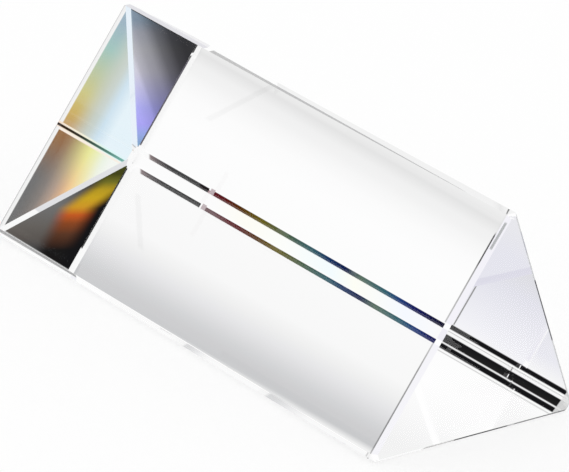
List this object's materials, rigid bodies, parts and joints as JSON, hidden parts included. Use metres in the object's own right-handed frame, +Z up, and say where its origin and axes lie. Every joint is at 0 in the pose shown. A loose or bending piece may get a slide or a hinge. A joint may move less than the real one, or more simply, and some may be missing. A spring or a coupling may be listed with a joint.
{
  "type": "equilateral prism",
  "caption": "Clear optical glass dispersing prism with an equilateral triangular section, polished faces and narrow bevels along every edge.",
  "frame": {"origin": "under the middle of the prism, on the surface that it lies on", "axes": "+X along the prism to one end face, +Z up through the top edge, -Y towards the front long face, which leans back 30 degrees from upright"},
  "size_m": [0.06, 0.0288, 0.0249],
  "materials": {
    "optical_glass": "polished, clear and colourless"
  },
  "bodies": {
    "root": {"glass_prism": "optical_glass"}
  },
  "joints": []
}
